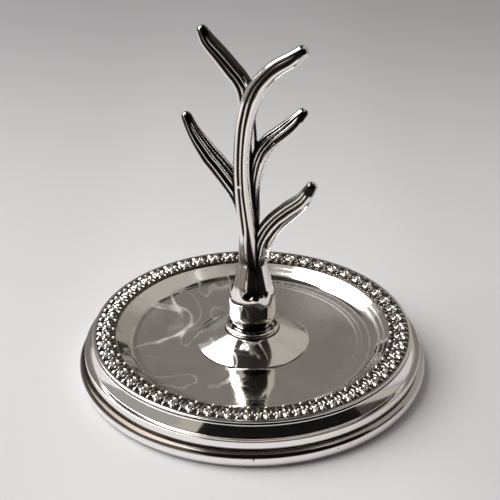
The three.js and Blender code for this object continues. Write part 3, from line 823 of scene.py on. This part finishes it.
def way_of(arm):
    """The middle of an arm and its half thickness at each station, root to tip."""
    tip = arm["tip"]
    rows = [(tip[0] * x * mm, tip[1] * y * mm, neck_top + tip[2] * z * mm,
             width * arm["thickness"] * mm / 2) for x, y, z, width in arm["route"]]
    knots = [0.0]
    for before, after in zip(rows, rows[1:]):
        knots.append(knots[-1] + math.sqrt(math.dist(before[:3], after[:3])))
    spots = []
    for step in range(stations + 1):
        goal = knots[-1] * step / stations
        x, y, z, half = (eased([(knot, row[axis]) for knot, row in zip(knots, rows)], goal)
                         for axis in range(4))
        spots.append((Vector((x, y, z)), half))
    return spots


def furrow_at(table, left):
    """The middle and half width of a furrow, in degrees, at a distance from the tip in mm."""
    middle = eased([(distance, angle) for distance, angle, _ in table], left)
    half = eased([(distance, half) for distance, _, half in table], left)
    return middle, max(half, 2)


ways = {arm["name"]: way_of(arm) for arm in arms}


def bent_arm(arm):
    """One arm, rolled round its way, and its furrows stained."""
    way = ways[arm["name"]]
    others = [spot for name, other in ways.items() if name != arm["name"] for spot in other[::2]]
    middles = [middle for middle, _ in way]
    length = sum((b - a).length for a, b in zip(middles, middles[1:]))
    front = Vector((0.0, -1.0, 0.0))
    sections = []
    travelled = 0.0
    for step, (middle, half) in enumerate(way):
        before, after = middles[max(step - 1, 0)], middles[min(step + 1, stations)]
        ahead = (after - before).normalized()
        facing = (front - ahead * front.dot(ahead)).normalized()
        if step:
            travelled += (middle - middles[step - 1]).length
        left = (length - travelled) / mm
        cuts = [furrow_at(table, left) for table in arm["furrows"]]
        cuts += [(angle, back_furrow_half) for angle in arm["back_furrows"]]
        near = [(other, other_half) for other, other_half in others
                if (other - middle).length < half + other_half + cleft_reach]
        sections.append((middle, ahead, facing, ahead.cross(facing), half, left, cuts, near))
    oxide_and_painted_shade = {}
    cap_middle, cap_half, cap_length, cap_fall = arm["cap"]
    solder_at, solder_middle, solder_half = arm.get("solder", no_solder)
    dark_from, dark_to, face_darkness = arm.get("darkened_face", no_darkened_face)
    oxide = arm.get("oxide", common_oxide)
    rows = stations + cap_rows + 2

    def rounded(spot):
        return tuple(round(part * 1e7) for part in spot)

    def place(around, along):
        """A spot on the arm: its first row closes the root, and its last rows round the tip."""
        row = round(along * rows) - 1
        if row < 0:
            return middles[0].copy()
        middle, ahead, facing, beside, half, left, cuts, near = sections[min(row, stations)]
        angle = math.tau * around
        degrees = (360 * around + 180) % 360 - 180
        lean = math.pi / 2 * max(0, row - stations) / (cap_rows + 1)
        fade = risen(left, 0.3, 3.3) * min(1.0, max(0.25, (55 - left) / 4 + 1))
        solder = math.exp(-((left - solder_at) / 0.35) ** 2)
        solder *= groove(degrees, solder_middle, solder_half)
        cut = min(1.0, sum(groove(degrees, centre, wide) for centre, wide in cuts))
        cut *= 1 - min(1.0, 1.4 * solder)
        reach = half * (1 - reed_depth * fade * cut) * math.cos(lean)
        reach *= 1 + 0.015 * noise.noise(Vector((math.cos(angle), math.sin(angle), left / 4)))
        spot = (middle + ahead * tip_rounding * math.sin(lean)
                + facing * reach * math.cos(angle) + beside * reach * math.sin(angle))
        in_furrow = min(1.0, left + 0.75) * (cut * oxide - 0.05) * math.cos(lean)
        on_cap = risen(left, cap_length + 0.6, cap_length - 0.4)
        on_cap *= groove(degrees, cap_middle, cap_half) * math.cos(lean * 0.9) ** cap_fall
        # A darkened face: tarnish on the upper left arm, painted shade dimming a reflection on the
        # middle right arm.
        dimmed = face_darkness * min(1.0, left)
        dimmed *= risen(degrees, dark_from, dark_from + 10) * risen(degrees, dark_to, dark_to - 15)
        by_root = 0.42 * risen(left, 54, 56) * risen(degrees, -22, -32)
        # Oxide and painted shade darken the arm where it comes close to another arm.
        cleft_oxide_and_shade = [1 - ((spot - other).length - other_half) / cleft_reach
                    for other, other_half in near]
        oxide_and_painted_shade[rounded(spot)] = max(in_furrow, on_cap, dimmed, by_root, *cleft_oxide_and_shade)
        return spot

    bm = rolled(144, rows, place)
    stain_and_shade(bm, lambda co: oxide_and_painted_shade.get(rounded(co), 0.0))
    return bm


arm_silver = clean_silver("arm_silver", shine=0.06, toning=0.3)
for arm in arms:
    seat(arm["name"] + "_cast", bent_arm(arm), arm_silver, "oxidised_silver", arm["name"])


# The table and the light: a pale sheet under a white window on the left, its colour painted with
# light and shade. The silver mirrors a pale wall on the right, a brown wall with a shelf behind,
# the ceiling, and the dark room on the camera's side. A pale card on the right and two dark cards
# above are painted reflections: only the silver shows them.
def card(name, middle, width, height, colour, glow=0.0, round_edge=False, only_mirrored=False):
    """A flat card that faces the object and that the camera doesn't see."""
    bm = bmesh.new()
    if round_edge:
        bmesh.ops.create_circle(bm, cap_ends=True, segments=48, radius=0.5)
    else:
        bmesh.ops.create_grid(bm, x_segments=1, y_segments=1, size=0.5)
    bmesh.ops.scale(bm, vec=(width, height, 1.0), verts=bm.verts)
    facing = (Vector((0.0, 0.0, 30 * mm)) - Vector(middle)).to_track_quat("Z", "Y").to_matrix()
    bmesh.ops.rotate(bm, cent=(0, 0, 0), matrix=facing, verts=bm.verts)
    bmesh.ops.translate(bm, vec=middle, verts=bm.verts)
    finish = Finish(name + "_finish")
    if glow > 0:
        surface = finish.shade({"Color": (*colour, 1.0), "Strength": glow}, "ShaderNodeEmission")
    else:
        surface = finish.shade({
            "Base Color": (*colour, 1.0), "Roughness": 0.9, "Specular IOR Level": 0.1})
    made = placed(name, bm, surface)
    made.visible_camera = False
    made.visible_diffuse = not only_mirrored
    made.visible_shadow = not only_mirrored


def direction(azimuth, elevation, distance):
    """A place seen from the object, its azimuth counted from the camera's side to the right."""
    turn, climb = math.radians(azimuth), math.radians(elevation)
    return (distance * math.sin(turn) * math.cos(climb),
            -distance * math.cos(turn) * math.cos(climb), distance * math.sin(climb))


# Each card has its place, its width and height in metres, its colour and how much it glows.
unlit = (0.012, 0.011, 0.010)
card("window", direction(-100, 50.5, 1.2), 1.25, 0.98, (1.0, 0.99, 0.97), 4.5)
card("left_wall", direction(-88, 11, 1.0), 1.7, 0.44, (0.9, 0.88, 0.85), 0.36)
card("dark_room", direction(20, 34, 0.45), 1.05, 0.62, unlit)
# A painted dark reflection above the front, seen only in the silver.
card("dark_reflection_card", (0.02, -0.17, 0.5), 0.40, 0.10, unlit, only_mirrored=True)
card("brown_wall", direction(191, 28, 1.6), 1.42, 0.9, (0.80, 0.72, 0.66), 0.24)
card("dark_skirting", direction(180, 6, 1.5), 2.6, 0.24, (0.8, 0.75, 0.7), 0.05)
# A painted dark reflection above and behind, seen only in the silver.
card("dark_reflection_disc", (0.0, 0.13, 0.5), 0.36, 0.40, (0.060, 0.057, 0.050), round_edge=True,
     only_mirrored=True)
card("pale_wall", direction(54, 60, 1.1), 0.60, 0.45, (1.0, 0.96, 0.91), 1.0)
# A painted pale reflection on the right, seen only in the silver.
card("pale_reflection_card", direction(82, 18, 1.0), 0.8, 0.40, (0.9, 0.84, 0.76), 0.06,
     only_mirrored=True)
card("ceiling", (0.0, 0.0, 1.4), 1.1, 1.1, (0.9, 0.85, 0.78), 0.46)
card("dark_shelf", direction(180, 48, 1.2), 0.95, 0.26, (0.10, 0.09, 0.08))

# The sheet's colour is painted light and shade: darker towards the back and darkest far behind,
# lighter and warmer just in front, dark at the front edge, and a little darker at both sides.
sheet_finish = Finish("table_sheet")
sheet_back = sheet_finish.along("Y")
sheet_aside = abs(sheet_finish.along("X"))
sheet_painted_light_and_shade = (
    (sheet_back, -0.05, 0.36, 1.0, (0.345, 0.343, 0.357, 1.0)),
    (sheet_back, 0.40, 0.60, 1.0, (0.10, 0.095, 0.09, 1.0)),
    (sheet_back, -0.07, -0.13, 1.0, (0.98, 0.905, 0.86, 1.0)),
    (sheet_back, -0.26, -0.34, 1.0, (0.03, 0.028, 0.026, 1.0)),
    (sheet_aside, 0.030, 0.062, 0.09, (0.20, 0.20, 0.20, 1.0)))
sheet_colour_with_painted_light = (0.79, 0.785, 0.81, 1.0)
for away, low, high, share, shade in sheet_painted_light_and_shade:
    sheet_colour_with_painted_light = sheet_finish.mixed(
        sheet_finish.band(away, low, high, 0.0, share), sheet_colour_with_painted_light, shade)
table_bm = bmesh.new()
bmesh.ops.create_grid(table_bm, x_segments=1, y_segments=1, size=3.0)
table = placed("table_sheet", table_bm, sheet_finish.shade({
    "Base Color": sheet_colour_with_painted_light, "Roughness": 0.85, "Specular IOR Level": 0.1}))

room = bpy.data.worlds.new("room")
bpy.context.scene.world = room
room.use_nodes = True
room.node_tree.nodes["Background"].inputs["Color"].default_value = (0.42, 0.392, 0.353, 1.0)
room.node_tree.nodes["Background"].inputs["Strength"].default_value = 1.0

# The lens as fitted to the photograph, whose width and focal length are in pixels.
photo_width = 500.0
focal_length = 1197.0
film_width = 36.0
looking_down = math.radians(28.55)
camera_distance = 300 * mm
aim = Vector((-0.58 * mm, 0.0, 33.4 * mm))
back_to_camera = Vector((0.0, -math.cos(looking_down), math.sin(looking_down)))
photo_lens = bpy.data.cameras.new("photo_lens")
photo_lens.sensor_width = film_width
photo_lens.lens = focal_length / photo_width * film_width
photo_lens.clip_start = 0.01
photo_lens.clip_end = 20.0
camera = bpy.data.objects.new("camera", photo_lens)
bpy.context.scene.collection.objects.link(camera)
camera.location = aim + back_to_camera * camera_distance
camera.rotation_mode = "QUATERNION"
camera.rotation_quaternion = (-back_to_camera).to_track_quat("-Z", "Y")
bpy.context.scene.camera = camera
bpy.context.scene.view_settings.view_transform = "Standard"
